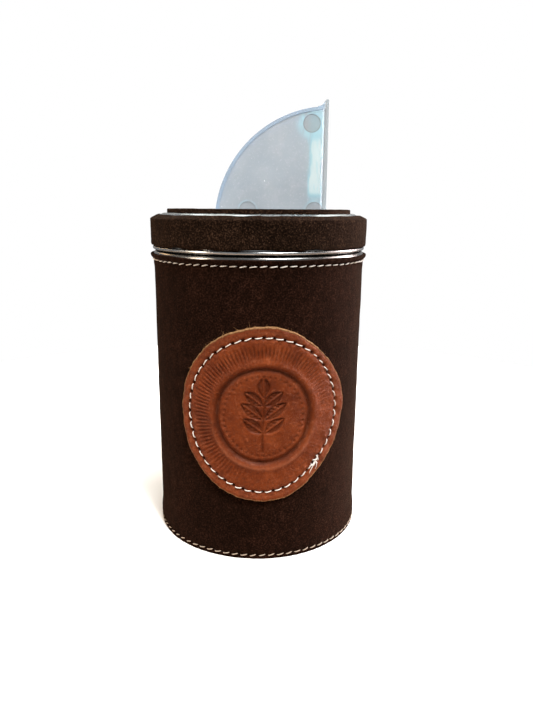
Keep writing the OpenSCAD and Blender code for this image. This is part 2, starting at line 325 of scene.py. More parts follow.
class Shading:
    """A material with one Principled BSDF, and short calls for the nodes that feed it."""

    def __init__(self, name, **sockets):
        self.material = bpy.data.materials.new(name)
        self.material.use_nodes = True
        self.tree = self.material.node_tree
        self.shader = self.tree.nodes["Principled BSDF"]
        for key, value in sockets.items():
            self.shader.inputs[key.replace("_", " ")].default_value = value
        self.place = self.tree.nodes.new("ShaderNodeTexCoord").outputs["Object"]

    def node(self, kind, values=None, **settings):
        made = self.tree.nodes.new("ShaderNode" + kind)
        for key, value in settings.items():
            setattr(made, key, value)
        for key, value in (values or {}).items():
            if isinstance(value, bpy.types.NodeSocket):
                self.tree.links.new(value, made.inputs[key])
            else:
                made.inputs[key].default_value = value
        return made

    def noise(self, size_mm, detail=4.0, roughness=0.6, distortion=0.0, stretch=None):
        """Noise whose lumps are about size_mm across."""
        place = self.place
        if stretch:
            place = self.node("Mapping", {"Vector": place, "Scale": stretch}).outputs["Vector"]
        values = {"Vector": place, "Scale": 1 / (size_mm * MM), "Detail": detail,
                  "Roughness": roughness, "Distortion": distortion}
        return self.node("TexNoise", values).outputs[0]

    def beside(self, point):
        """Place relative to a point, seen along y."""
        values = {"Vector": self.place, "Scale": (1, 0, 1), "Location": tuple(-point * MM * [1, 0, 1])}
        return self.node("Mapping", values).outputs["Vector"]

    def length(self, vector):
        return self.node("VectorMath", {0: vector}, operation="LENGTH").outputs["Value"]

    def cells(self, size_mm):
        values = {"Vector": self.place, "Scale": 1 / (size_mm * MM)}
        return self.node("TexVoronoi", values, feature="F1").outputs["Distance"]

    def stored(self, key):
        return self.node("Attribute", attribute_name=key).outputs["Fac"]

    def span(self, value, low, high, to_low=0.0, to_high=1.0):
        values = {"Value": value, "From Min": low, "From Max": high, "To Min": to_low, "To Max": to_high}
        return self.node("MapRange", values, interpolation_type="SMOOTHSTEP").outputs["Result"]

    def maths(self, operation, a, b):
        return self.node("Math", {0: a, 1: b}, operation=operation).outputs[0]

    def times(self, a, b):
        return self.maths("MULTIPLY", a, b)

    def band(self, value, rise, fall):
        """1 in a band and 0 beyond it. rise and fall are where its two sides start and end, in mm."""
        up = self.span(value, rise[0] * MM, rise[1] * MM)
        return self.times(up, self.span(value, fall[0] * MM, fall[1] * MM, 1, 0))

    def ramp(self, value, *stops):
        """Colours between (position, (r, g, b)) stops."""
        made = self.node("ValToRGB", {"Fac": value})
        elements = made.color_ramp.elements
        while len(elements) < len(stops):
            elements.new(0.5)
        for element, (position, colour) in zip(elements, stops):
            element.position = position
            element.color = (*colour, 1)
        return made.outputs["Color"]

    def mix(self, amount, a, b, blend="MIX"):
        made = self.node("Mix", data_type="RGBA", blend_type=blend)
        for index, value in ((0, amount), (6, a), (7, b)):
            if isinstance(value, bpy.types.NodeSocket):
                self.tree.links.new(value, made.inputs[index])
            else:
                made.inputs[index].default_value = value if index == 0 else (*value, 1)
        return made.outputs[2]

    def bump(self, height, depth_mm, strength=1.0, under=None):
        values = {"Height": height, "Distance": depth_mm * MM, "Strength": strength}
        if under is not None:
            values["Normal"] = under
        return self.node("Bump", values).outputs["Normal"]

    def finish(self, **outputs):
        for key, value in outputs.items():
            self.tree.links.new(value, self.shader.inputs[key.replace("_", " ")])
        return self.material


def suede(name, deep, mid, fleck):
    """Brushed nap: fine dark grain, a few pale fibre ends, and soft strokes of the brush."""
    s = Shading(name, Roughness=0.95, Specular_IOR_Level=0.02, Specular_Tint=(1.0, 0.68, 0.50, 1),
                Sheen_Weight=0.035, Sheen_Roughness=0.5, Sheen_Tint=(0.75, 0.48, 0.36, 1))
    nap = s.noise(0.7, detail=5, roughness=0.75)
    tufts = s.noise(3.2, detail=4, roughness=0.6, stretch=(1, 1, 0.6))
    strokes = s.noise(26, detail=3, roughness=0.5, distortion=0.6)
    grain = s.ramp(nap, (0.40, deep), (0.52, mid), (0.66, fleck))
    shade = s.times(s.span(tufts, 0.3, 0.7, 0.75, 1.3), s.span(strokes, 0.3, 0.7, 0.82, 1.22))
    tone = s.ramp(s.times(shade, 0.5), (0.0, (0, 0, 0)), (1.0, (2, 2, 2)))
    colour = s.mix(1.0, grain, tone, "MULTIPLY")
    ends = s.span(s.cells(0.9), 0.0, 0.16, 1.0, 0.0)
    rare = s.span(s.noise(2.1, detail=2), 0.55, 0.68)
    colour = s.mix(s.times(s.times(ends, rare), 0.6), colour, tuple(4 * c for c in mid))
    colour = s.mix(s.times(s.stored("cut"), 0.8), colour, tuple(7 * c for c in mid))
    normal = s.bump(nap, 0.32, 0.9, under=s.bump(tufts, 0.35, 0.6))
    return s.finish(Base_Color=colour, Normal=normal)


def patch_leather():
    """Waxed full-grain leather, pale and fibrous where cut, dark where pressed (partly painted shade)."""
    s = Shading("cognac_leather", Specular_IOR_Level=0.20, Specular_Tint=(1.0, 0.66, 0.50, 1),
                Coat_Weight=0.03, Coat_Roughness=0.30)
    cloud = s.noise(11, detail=5, roughness=0.62, distortion=0.4)
    speck = s.noise(1.7, detail=5, roughness=0.70)
    grain = s.ramp(cloud, (0.3, (0.078, 0.0110, 0.0014)), (0.5, (0.124, 0.0205, 0.0030)),
                   (0.7, (0.178, 0.0345, 0.0070)))
    grain = s.mix(s.span(speck, 0.44, 0.70, 0.0, 0.5), grain, (0.050, 0.0085, 0.0020))
    creases = s.noise(1.8, detail=6, roughness=0.74, distortion=1.3)
    ridges = s.span(creases, 0.53, 0.68, 0.0, 0.42)
    grain = s.mix(ridges, grain, (0.34, 0.105, 0.046))
    # Darker where pressed: partly the pressed leather's own colour, partly painted shade in grooves and
    # stitch holes.
    grain = s.mix(s.span(s.stored("pressed"), 0, 1, 0, 0.78), grain, (0.028, 0.0055, 0.0020))
    # Lighter on raised edges: partly wear, partly painted highlight.
    grain = s.mix(s.span(s.stored("rubbed"), 0, 1, 0, 0.5), grain, (0.30, 0.095, 0.045))
    fibres = s.noise(0.6, detail=5, roughness=0.8, stretch=(1, 1, 0.4))
    cut = s.ramp(fibres, (0.38, (0.10, 0.040, 0.014)), (0.64, (0.42, 0.235, 0.105)))
    colour = s.mix(s.stored("cut"), grain, cut)
    pores = s.span(s.cells(0.6), 0.05, 0.34)
    normal = s.bump(creases, 0.85, 0.9)
    normal = s.bump(pores, 0.10, 0.7, under=normal)
    normal = s.bump(s.times(fibres, s.stored("cut")), 0.5, 0.9, under=normal)
    shine = s.maths("ADD", s.span(speck, 0.3, 0.7, 0.34, 0.50), s.times(s.stored("cut"), 0.35))
    shine = s.maths("SUBTRACT", shine, s.times(s.stored("pressed"), 0.14))
    return s.finish(Base_Color=colour, Normal=normal, Roughness=shine)


def sole_leather():
    """Smooth vegetable-tanned leather."""
    s = Shading("sole_leather", Specular_IOR_Level=0.35, Coat_Weight=0.05, Coat_Roughness=0.5)
    cloud = s.noise(14, detail=6, roughness=0.65, distortion=0.5)
    scuffs = s.noise(3.0, detail=5, roughness=0.7, distortion=1.5)
    colour = s.ramp(cloud, (0.25, (0.16, 0.07, 0.03)), (0.75, (0.31, 0.155, 0.07)))
    colour = s.mix(s.span(scuffs, 0.58, 0.72, 0.0, 0.4), colour, (0.09, 0.045, 0.025))
    normal = s.bump(s.span(s.cells(0.7), 0.05, 0.35), 0.08, 0.6, under=s.bump(scuffs, 0.25, 0.4))
    return s.finish(Base_Color=colour, Normal=normal, Roughness=s.span(scuffs, 0.3, 0.7, 0.5, 0.72))


def thread(name, shade, worn):
    """Waxed thread. worn is how much of the row is soiled."""
    s = Shading(name, Specular_IOR_Level=0.3, Sheen_Weight=0.15, Sheen_Roughness=0.5,
                Sheen_Tint=(1, 0.97, 0.92, 1))
    fibres = s.noise(0.22, detail=4, roughness=0.7)
    grime = s.noise(9, detail=4, roughness=0.6)
    colour = s.ramp(fibres, (0.3, tuple(0.55 * c for c in shade)), (0.65, shade))
    colour = s.mix(s.span(grime, 0.62 - worn, 0.78 - worn, 0.0, 0.75), colour, (0.36, 0.27, 0.20))
    shine = s.span(fibres, 0.2, 0.8, 0.6, 0.85)
    return s.finish(Base_Color=colour, Normal=s.bump(fibres, 0.08, 0.7), Roughness=shine)


def tinplate(name, dark, mid, bright):
    """Rolled tinplate with faint rolling lines, tarnish and rub marks."""
    s = Shading(name, Metallic=1.0)
    tarnish = s.noise(9, detail=6, roughness=0.68, distortion=0.6)
    lines = s.noise(0.5, detail=3, roughness=0.6, stretch=(0.08, 0.08, 3.0))
    colour = s.ramp(tarnish, (0.34, dark), (0.5, mid), (0.66, bright))
    shine = s.maths("ADD", s.span(tarnish, 0.35, 0.7, 0.26, 0.13), s.span(lines, 0.3, 0.7, 0.0, 0.07))
    normal = s.bump(lines, 0.02, 0.4, under=s.bump(s.noise(5, detail=3), 0.10, 0.35))
    return s.finish(Base_Color=colour, Normal=normal, Roughness=shine)


def highlight_strip(s, colour, axes, streaks):
    """Painted highlight on the upright strip where plate and cheek join: blue at its sides, nearly white
    inside.
    """
    across = s.maths("ADD", axes[0], s.times(s.span(streaks, 0.3, 0.7, -1.0, 1.0), 0.6 * MM))
    strip_highlight = s.band(across, (-10.6, -7.9), (-3.8, -2.7))
    strip_highlight = s.times(strip_highlight, s.span(axes[2], 10 * MM, 17 * MM))
    strip_highlight = s.times(strip_highlight, s.span(axes[2], 36 * MM, 44 * MM, 1, 0.45))
    core = s.times(strip_highlight, s.span(streaks, 0.35, 0.6, 0.55, 1.0))
    colour = s.mix(s.times(strip_highlight, 0.9), colour, (0.50, 0.90, 1.0))
    return s.mix(s.times(core, s.span(strip_highlight, 0.55, 0.95, 0, 1.0)), colour, (0.89, 0.99, 1.0))


def moulding_mark(s, colour, away, halo_r, share, streaks):
    """A round mark: duller inside, with a dark line and then a painted highlight halo round it."""
    halo = s.band(away, (MARK_R - 0.1, MARK_R + 0.3), (MARK_R + 0.5, halo_r))
    halo = s.times(halo, s.span(streaks, 0.32, 0.62, 0.25 * share, share))
    colour = s.mix(halo, colour, (0.62, 0.90, 1.0))
    inside = s.span(away, (MARK_R - 0.2) * MM, (MARK_R + 0.1) * MM, 0.5 * share, 0.0)
    colour = s.mix(inside, colour, (0.50, 0.52, 0.53))
    line = s.band(away, (MARK_R - 0.5, MARK_R - 0.15), (MARK_R - 0.1, MARK_R + 0.25))
    return s.mix(s.times(line, 0.6 * share), colour, (0.36, 0.37, 0.38))


def cloudy_plastic():
    """Translucent moulded plastic, bluer at its rim, with painted highlights where plate and cheek join."""
    s = Shading("cloudy_plastic", IOR=1.46, Transmission_Weight=0.60, Specular_IOR_Level=0.5)
    flow = s.noise(14, detail=3, roughness=0.5, distortion=0.6)
    specks = s.noise(1.0, detail=4, roughness=0.7)
    streaks = s.noise(3.5, detail=4, roughness=0.6, stretch=(1.6, 1, 0.35))
    scuffs = s.span(s.noise(7, detail=6, roughness=0.75), 0.50, 0.68)
    colour = s.ramp(flow, (0.3, (0.585, 0.65, 0.705)), (0.7, (0.645, 0.70, 0.745)))
    colour = s.mix(s.span(specks, 0.56, 0.66, 0.0, 0.30), colour, (0.95, 0.95, 1.0))
    colour = s.mix(s.times(scuffs, 0.22), colour, (0.88, 0.88, 0.95))
    from_hinge = s.beside(HINGE)
    axes = s.node("SeparateXYZ", {0: from_hinge}).outputs
    # Painted highlights: the strip beside the plate, and the halos round the moulding marks.
    colour = highlight_strip(s, colour, axes, streaks)
    for (u, v), halo_r, share in SPOUT_MARKS:
        away = s.length(s.beside(HINGE + np.array([u, 0, v])))
        colour = moulding_mark(s, colour, away, halo_r, share, streaks)
    rim = s.span(s.length(from_hinge), (SPOUT_R - 1.9) * MM, (SPOUT_R - 1.3) * MM)
    colour = s.mix(s.times(rim, 0.85), colour, (0.58, 0.73, 0.90))
    plate = s.span(axes[0], -3.0 * MM, -2.4 * MM)
    colour = s.mix(s.times(plate, 0.9), colour, (0.84, 0.94, 1.0))
    shine = s.maths("ADD", s.span(flow, 0.3, 0.7, 0.12, 0.20), s.span(specks, 0.55, 0.75, 0.0, 0.10))
    normal = s.bump(s.noise(3.0, detail=4), 0.06, 0.3, under=s.bump(flow, 0.25, 0.15))
    return s.finish(Base_Color=colour, Normal=normal, Roughness=shine)


def pale_floor():
    """Pale paper that throws little light back up at the canister."""
    s = Shading("pale_floor", Roughness=0.9, Specular_IOR_Level=0.1)
    colour = s.ramp(s.noise(180, detail=3), (0.3, (0.90, 0.885, 0.86)), (0.7, (0.92, 0.905, 0.88)))
    seen = s.node("LightPath").outputs["Is Camera Ray"]
    return s.finish(Base_Color=s.mix(seen, FLOOR_GLOW, colour))


SLEEVE_SUEDE = suede("sleeve_suede", deep=(0.0028, 0.0010, 0.0005), mid=(0.0080, 0.0029, 0.0016),
                     fleck=(0.027, 0.0118, 0.0078))
LID_SUEDE = suede("lid_suede", deep=(0.0018, 0.0009, 0.0005), mid=(0.0080, 0.0040, 0.0022),
                  fleck=(0.044, 0.0245, 0.0155))
PATCH_LEATHER = patch_leather()
SOLE_LEATHER = sole_leather()
THREAD = thread("waxed_thread", (0.74, 0.70, 0.64), 0.10)
# The bottom row's thread is darker and greyer than the others.
DARKER_THREAD = thread("darker_thread", (0.42, 0.35, 0.27), 0.25)
# Both tins are darker than bright tinplate: painted shade for the dim light on them.
LID_TIN = tinplate("bright_tinplate", (0.29, 0.28, 0.265), (0.40, 0.40, 0.395), (0.51, 0.52, 0.53))
# The can's tin is darker still, all over: painted shade for the lid hem's shadow on its bead.
SHADED_CAN_TIN = tinplate("shade_darkened_tinplate", (0.14, 0.136, 0.128), (0.195, 0.192, 0.185), (0.26, 0.26, 0.255))
PLASTIC = cloudy_plastic()


# ---- the thread ----

def stitch(centre, along, out, length, radius=THREAD_R):
    """It comes up out of its hole, lies on the leather and dives into the next hole."""
    t = np.linspace(-1, 1, 21)
    dip = 0.8
    height = radius * 0.75 - (radius + dip) * np.abs(t) ** 4
    path = centre + np.outer(t * length / 2, along) + np.outer(height, out)
    return tube(path, radius * (1 - 0.35 * np.abs(t) ** 4))


def thread_piece(name, parts, material, node):
    mesh_piece(name, *join(parts), "canister", "thread", material, [node])


def ring_of_stitches(radius, z, slant, thread_r, seed):
    """A level row round the sleeve, lifted over the lapped seam at the back."""
    rng = np.random.default_rng(seed)
    pitch = TURN / ROW_STITCHES
    for i in range(ROW_STITCHES):
        angle = (i + 0.5) * pitch
        lift = float(lap_height(angle, radius))
        out = around(angle, 1.0, 0.0)
        level = around(angle + pi / 2, 1.0, 0.0)
        tilt = radians(slant + rng.normal(0, 3.0))
        along = cos(tilt) * level + sin(tilt) * np.array([0, 0, 1])
        centre = around(angle, radius + lift, z + rng.normal(0, 0.06))
        yield stitch(centre, along, out, 0.80 * pitch * radius, thread_r * rng.uniform(0.93, 1.05))


# ---- the sleeve ----

def lap_height(angle, radius):
    """How far the lapped seam stands out: a cut edge on one side, a soft rise on the other."""
    beyond = (np.asarray(angle) - pi) * radius
    return LAP_T * step(beyond + LAP_HALF, 1.6) * step(LAP_HALF - beyond, 0.18)


def row_dents(angle, z, row_z, radius):
    """How a row draws the leather in: a channel, deep at the holes, with pillows between."""
    phase = angle * ROW_STITCHES / TURN
    from_hole = off_nearest(phase) * TURN * radius / ROW_STITCHES
    across = z - row_z
    channel = 0.26 * bell(across, 0.9)
    holes = 0.65 * bell(from_hole, 0.55) * bell(across, 0.5)
    pillows = 0.14 * np.cos(TURN * phase) * (bell(across - 1.7, 1.0) + 0.4 * bell(across + 1.5, 1.0))
    return -channel - holes - pillows


def back_row():
    """Lowest and highest point of the upright row at the back, and the pitch of its stitches."""
    low, high = node_box("stitching_back")
    return low[2], high[2], (high[2] - low[2]) / (BACK_STITCHES - 0.3)


def back_dents(angle, z, radius):
    """The dents of the upright row at the back."""
    low, high, pitch = back_row()
    phase = (z - low) / pitch + 0.15
    from_hole = off_nearest(phase) * pitch
    across = (angle - BACK_SEAM) * radius
    inside = step(z - low + 1, 0.4) * step(high + 1 - z, 0.4)
    return -inside * (0.25 * bell(across, 0.8) + 0.6 * bell(from_hole, 0.55) * bell(across, 0.5))


def sleeve_push(angle, r, z):
    """Everything that moves the sleeve's outer face off its plain shape."""
    rest = around(angle, r, z)
    push = lap_height(angle, r)
    push = push + row_dents(angle, z, ROW_TOP_Z, r) + row_dents(angle, z, ROW_BOTTOM_Z, r)
    push = push + back_dents(angle, z, r)
    return push + 0.10 * waves(rest, 42, seed=3) + 0.05 * waves(rest, 9, seed=4)


def sleeve():
    """Suede round the can, standing off over its bottom seam and flaring over its stop bead."""
    def spacing(r, z):
        if r < SLEEVE_IN_R + 1:
            return 8.0
        near_row = min(abs(z - ROW_TOP_Z), abs(z - ROW_BOTTOM_Z)) < ROW_REACH
        return 0.42 if near_row else 2.6

    outline = [
        (FOOT_R, 0, 0.5), (FOOT_R, FOOT_Z, 3), (SLEEVE_R, WAIST_Z, 3),
        (SLEEVE_R, ROW_TOP_Z - ROW_REACH, 6), (SLEEVE_R + 0.35, ROW_TOP_Z, 3),
        (FLARE_R - 0.35, SLEEVE_TOP - 1.6, 1.2), (FLARE_R, SLEEVE_TOP, 0.35),
        (FLARE_IN_R + 0.02, SLEEVE_TOP, 0.2), (FLARE_IN_R + 0.02, SLEEVE_TOP - 0.6, 0),
        (SLEEVE_IN_R, ROW_TOP_Z - 0.6, 0), (SLEEVE_IN_R, WAIST_Z, 0), (FOOT_IN_R, FOOT_Z, 0),
        (FOOT_IN_R, 0, 0.3),
    ]
    cut_edge = pi + LAP_HALF / SLEEVE_R
    beside_edge = cut_edge + np.array([-0.006, -0.003, 0.003, 0.006])
    angles = np.sort(np.concatenate([all_round(ROW_STITCHES * 9), beside_edge]))
    points, faces = lathe(rounded(outline, spacing), angles, sleeve_push)
    near_top = step(points[..., 2] - ROW_TOP_Z - 2.4, 0.5)
    points[..., 2] += 0.14 * near_top * waves(points, 24, seed=5)
    points[..., 2] = np.maximum(points[..., 2], 0)
    beyond = (np.broadcast_to(angles[:, None], points.shape[:2]) - pi) * SLEEVE_R
    mesh_piece("suede_sleeve", points, faces, "canister", "suede", SLEEVE_SUEDE, ["sleeve"],
               cut=bell(beyond - LAP_HALF - LAP_EDGE, 0.35))


def sleeve_stitching():
    """The two rows round the sleeve and the upright row at the back."""
    top = ring_of_stitches(SLEEVE_R + 0.28, ROW_TOP_Z, 9, 0.29, seed=11)
    thread_piece("top_row_thread", top, THREAD, "stitching_top")
    bottom = ring_of_stitches(FOOT_R - 0.18, ROW_BOTTOM_Z, 13, 0.27, seed=12)
    thread_piece("bottom_row_thread", bottom, DARKER_THREAD, "stitching_bottom")
    low, _, pitch = back_row()
    out = around(BACK_SEAM, 1.0, 0.0)
    level = around(BACK_SEAM + pi / 2, 1.0, 0.0)
    rng = np.random.default_rng(13)
    back = []
    for i in range(BACK_STITCHES):
        lean = radians(rng.normal(4, 2))
        along = np.array([0, 0, cos(lean)]) + sin(lean) * level
        centre = around(BACK_SEAM, SLEEVE_R + LAP_T - 0.1, low + (i + 0.35) * pitch)
        back.append(stitch(centre, along, out, 0.76 * pitch))
    thread_piece("back_seam_thread", back, THREAD, "stitching_back")


# ---- the patch ----

def patch_edge(theta):
    """Radius of the patch, which was cut out by hand."""
    def off(degrees):
        return np.angle(np.exp(1j * (theta - radians(degrees))), deg=True)

    knife = 0.12 * np.sin(9 * theta + 1) + 0.10 * np.sin(23 * theta) + 0.07 * np.sin(57 * theta + 2)
    return PATCH_R + 1.7 * bell(off(6), 24) - 1.4 * bell(off(47), 20) - 1.7 * bell(off(-44), 22) + knife


def seam_radius(theta):
    """Radius of the sewn ring, which keeps its distance from the hand-cut edge."""
    right, corner = (np.angle(np.exp(1j * (theta - radians(a)))) for a in (0, -44))
    return PATCH_SEAM_R - 0.2 + 0.8 * bell(right, 0.5) - 1.8 * bell(corner, 0.42)


def on_patch(u, v, lift):
    """Point of the wrapped patch, u mm along the sleeve, v mm up and lift mm above the suede."""
    return around(PATCH_TURN + u / PATCH_WRAP_R, PATCH_BACK_R + lift, PATCH_Z + v)


def leaf(u, v, base, heading, length, width):
    """Distance to a pointed leaf, negative inside it, and to its rib."""
    c, s = cos(heading), sin(heading)
    x = ((u - base[0]) * c + (v - base[1]) * s) / length
    y = -(u - base[0]) * s + (v - base[1]) * c
    half = width / 2 * np.sin(np.pi * np.clip(x, 0, 1)) ** 0.8
    past = np.maximum(np.maximum(-x, x - 1), 0) * length
    return np.abs(y) - half + past, y


def sprig(u, v):
    """Depth of a plain pressed sprig: a stem with pairs of leaves and one at the top."""
    stem = np.abs(u - 0.6 * np.sin(v / 7)) - 0.55 + 4 * np.clip(np.abs(v + 3) - 14.0, 0, None)
    depth = 0.65 * step(-stem, 0.18)
    leaves = [((0, 9.0), 90, 9.6, 5.8)]
    for height, length in ((5.2, 10.4), (-1.2, 12.4), (-7.6, 11.2)):
        leaves += [((0.4, height), 36, length, 5.6), ((-0.4, height), 144, length, 5.6)]
    for base, degrees, length, width in leaves:
        inside, rib = leaf(u, v, base, radians(degrees), length, width)
        pad = 0.95 * step(-inside, 0.2) - 0.70 * bell(rib, 0.36) * step(-inside - 0.3, 0.25)
        veins = 0.26 * (0.5 + 0.5 * np.cos(TURN * (u + np.abs(rib) * 1.2) / 1.7)) * step(-inside - 0.5, 0.2)
        depth = np.maximum(depth, pad - veins * (pad > 0.3))
    return depth


def seam_dents(r, theta):
    """How the sewn ring draws the patch in: its channel, holes and pillows."""
    phase = theta * PATCH_STITCHES / TURN
    from_hole = off_nearest(phase) * TURN * PATCH_SEAM_R / PATCH_STITCHES
    across = r - seam_radius(theta)
    channel = 0.38 * bell(across, 1.1)
    holes = 1.25 * bell(from_hole, 0.70) * bell(across, 0.58)
    pillow = 0.15 * np.cos(TURN * phase) * (bell(across - 2.0, 1.2) + bell(across + 2.0, 1.3))
    return channel, holes, pillow


def pressed_rays(r, theta):
    """Short rays outside the ring, faint at the lower right."""
    fade = 0.08 + 0.92 * step(np.cos(theta - radians(140)) + 0.25, 0.4)
    return RAY_DEPTH * bell(r - RAY_R, 3.2) * fade * bell(off_nearest(theta * RAYS / TURN), 0.27)


def pressed_beads(r, theta):
    along = off_nearest(theta * BEADS / TURN) * TURN * BEAD_RING_R / BEADS
    return BEAD_DEPTH * bell(along, 0.6) * bell(r - BEAD_RING_R, 0.6)


def wrinkles(u, v):
    """Soft unevenness all over, and finer creases at the lower right."""
    flat = np.stack([u, v, np.zeros_like(u)], axis=-1)
    soft = 0.15 * waves(flat, 17, seed=21) + 0.10 * waves(flat, 6, seed=22)
    soft = soft + 0.03 * waves(flat, 1.9, seed=26)
    lower_right = step(u - v - 22, 8)
    return soft + 0.16 * lower_right * waves(flat @ CREASE_TURN, 5, seed=24)


def patch_relief(u, v):
    """Height of the face above its plain level, how pressed each place is, and its wear and painted
    highlight.
    """
    r, theta = np.hypot(u, v), np.arctan2(v, u)
    plate = PLATE_DEPTH * step(RING_R + 0.9 - r, 0.4)
    ring = RING_DEPTH * bell(r - RING_R, 1.25)
    rays, beads = pressed_rays(r, theta), pressed_beads(r, theta)
    leaves = sprig(u, v) * step(BEAD_RING_R - 1 - r, 0.4)
    channel, holes, pillow = seam_dents(r, theta)
    curl = 0.28 * step(r - CURL_FROM_R, 1.0)
    shoulder = 0.42 * bell(r - RING_R - 2.9, 1.5)
    # How dark each place is painted: partly pressed leather's own colour, partly painted shade in grooves
    # and holes.
    pressed = 0.9 * ring + 0.75 * rays + 1.2 * beads + 0.6 * leaves + 1.6 * holes + 0.5 * channel
    # Painted highlight on the lower wall of the ring, where light from above falls.
    highlight_below_ring = 0.7 * bell(r - RING_R - 2.8, 1.0) * step(-np.sin(theta) - 0.3, 0.3)
    beside_seam = 0.35 * bell(r - seam_radius(theta) - 2.3, 1.2)
    # Lighter beside the seam and inside the ring: partly wear, partly painted highlight.
    rubbed = highlight_below_ring + beside_seam + 0.25 * bell(r - RING_R + 2.6, 0.8)
    lift = wrinkles(u, v) + curl + shoulder + pillow
    lift = lift - plate - ring - rays - beads - leaves - channel - holes
    return lift, np.clip(pressed, 0, 1), np.clip(rubbed, 0, 1)


def disc_grid(side):
    """A square grid bent into a disc: how far out, from 0 to 1, and which way each point lies."""
    a, b = np.meshgrid(np.linspace(-1, 1, side), np.linspace(-1, 1, side), indexing="ij")
    wide = np.abs(a) >= np.abs(b)
    long, short = np.where(wide, a, b), np.where(wide, b, a)
    bend = pi / 4 * short / np.where(long == 0, 1, long)
    theta = np.where(wide, bend, pi / 2 - bend) + np.where(long < 0, pi, 0)
    return np.abs(long), theta


def patch_skirt(theta):
    """Rings of points down the patch's ragged cut edge, then in across its back."""
    edge_r = patch_edge(theta)
    rings = []
    for out, lift in ((0.0, 1.45), (0.05, 1.0), (0.10, 0.5), (0.0, 0.12), (-0.3, 0.0)):
        place = np.stack([np.cos(theta) * 40, np.sin(theta) * 40, np.full_like(theta, lift * 9)], -1)
        ragged = edge_r + out + 0.10 * waves(place, 2.2, seed=int(lift * 10) + 30)
        rings.append(on_patch(ragged * np.cos(theta), ragged * np.sin(theta), lift))
    for share in (0.8, 0.6, 0.4, 0.2, 0.02):
        rings.append(on_patch(edge_r * share * np.cos(theta), edge_r * share * np.sin(theta), 0.0))
    return rings


def patch():
    """The patch's face as a grid bent into a disc, then its cut edge and a plain back."""
    side = PATCH_SIDE
    reach, theta = disc_grid(side)
    r = reach * (patch_edge(theta) - 0.35)
    u, v = r * np.cos(theta), r * np.sin(theta)
    relief, pressed, rubbed = patch_relief(u, v)
    round_off = 0.30 * step(reach * PATCH_R - ROUND_FROM_R, 0.25)
    top = on_patch(u, v, PATCH_T + relief - round_off)

    index = np.arange(side * side).reshape(side, side)
    rim = np.concatenate([index[0, :-1], index[:-1, -1], index[-1, :0:-1], index[:0:-1, 0]])
    rings = patch_skirt(theta.ravel()[rim])
    skirt = np.concatenate(rings)
    columns, start = len(rim), side * side
    faces = [list(f) for f in grid_faces(side, side, False, False)]
    for k in range(columns):
        beyond = (k + 1) % columns
        faces.append([rim[k], rim[beyond], start + beyond, start + k])
    faces += [list(f + start) for f in grid_faces(len(rings), columns, close_rows=False)]
    faces.append([start + (len(rings) - 1) * columns + k for k in range(columns)])
    none = np.zeros(len(skirt))
    cut = np.concatenate([step(reach.ravel() * PATCH_R - CUT_FROM_R, 0.12), np.ones(len(skirt))])
    points = np.concatenate([top.reshape(-1, 3), skirt])
    mesh_piece("leather_patch", points, faces, "canister", "patch_leather", PATCH_LEATHER, ["patch"],
               pressed=np.concatenate([pressed.ravel(), none]),
               rubbed=np.concatenate([rubbed.ravel(), none]), cut=cut)


def patch_stitching():
    """The ring of thread round the patch, backtacked and cut off at the lower right."""
    rng = np.random.default_rng(23)
    lift = PATCH_T - 0.22

    def laid(theta, r, turn, length, high=0.0):
        """A stitch on the flat outline at theta and r, turned to a heading."""
        u, v = r * cos(theta), r * sin(theta)
        centre = on_patch(u, v, lift + high)
        ahead = on_patch(u + cos(turn) * 0.5, v + sin(turn) * 0.5, lift + high) - centre
        out = around(PATCH_TURN + u / PATCH_WRAP_R, 1.0, 0.0)
        return stitch(centre, ahead / np.linalg.norm(ahead), out, length, THREAD_R * 0.80)

    pitch = TURN / PATCH_STITCHES
    parts = []
    for i in range(PATCH_STITCHES):
        theta = (i + 0.5) * pitch
        seam_r = seam_radius(theta)
        slope = (seam_radius(theta + 0.02) - seam_radius(theta - 0.02)) / 0.04 / seam_r
        turn = theta + pi / 2 - atan(slope) + radians(rng.normal(9, 3))
        parts.append(laid(theta, seam_r, turn, rng.uniform(0.66, 0.72) * pitch * seam_r))
    knot_r = seam_radius(KNOT)
    for along, across, lean in BACKTACK:
        turn = KNOT + pi / 2 + radians(lean)
        parts.append(laid(KNOT + along, knot_r + across, turn, 3.0, 0.35))
    for bend, length, aim in LOOSE_ENDS:
        t = np.linspace(0, 1, 26)
        aim_now = radians(aim) + bend * t
        u = knot_r * cos(KNOT) + np.cumsum(np.cos(aim_now)) * length / len(t)
        v = knot_r * sin(KNOT) + np.cumsum(np.sin(aim_now)) * length / len(t)
        path = on_patch(u, v, lift + 0.25 + 0.9 * np.sin(np.pi * t ** 0.8) * 0.6)
        parts.append(tube(path, THREAD_R * (0.7 - 0.3 * t), turns=4))
    thread_piece("patch_thread", parts, THREAD, "stitching_patch")


def edge_fibres():
    """Fibres of raw hide that stand out of the patch's cut edge."""
    rng = np.random.default_rng(25)
    parts = []
    for i in range(FIBRES):
        theta = rng.uniform(0, TURN) if i % 3 else radians(rng.normal(125, 25))
        start = patch_edge(theta) - 0.3
        t = np.linspace(0, 1, 9)
        length = rng.uniform(0.7, 1.7) if i % 9 else rng.uniform(2.4, 3.4)
        heading = theta + rng.normal(0, 0.7) + rng.normal(0, 0.6) * t
        u = start * cos(theta) + np.cumsum(np.cos(heading)) * length / len(t)
        v = start * sin(theta) + np.cumsum(np.sin(heading)) * length / len(t)
        height = rng.uniform(0.7, 1.6) + rng.uniform(-0.2, 0.3) * t
        parts.append(tube(on_patch(u, v, height), 0.09 * (1 - 0.7 * t), sides=5, turns=1))
    points, faces = join(parts)
    none = np.zeros(len(points))
    mesh_piece("patch_fibres", points, faces, "canister", "patch_leather", PATCH_LEATHER,
               pressed=none, rubbed=none, cut=none + 1)


# ---- tin ----

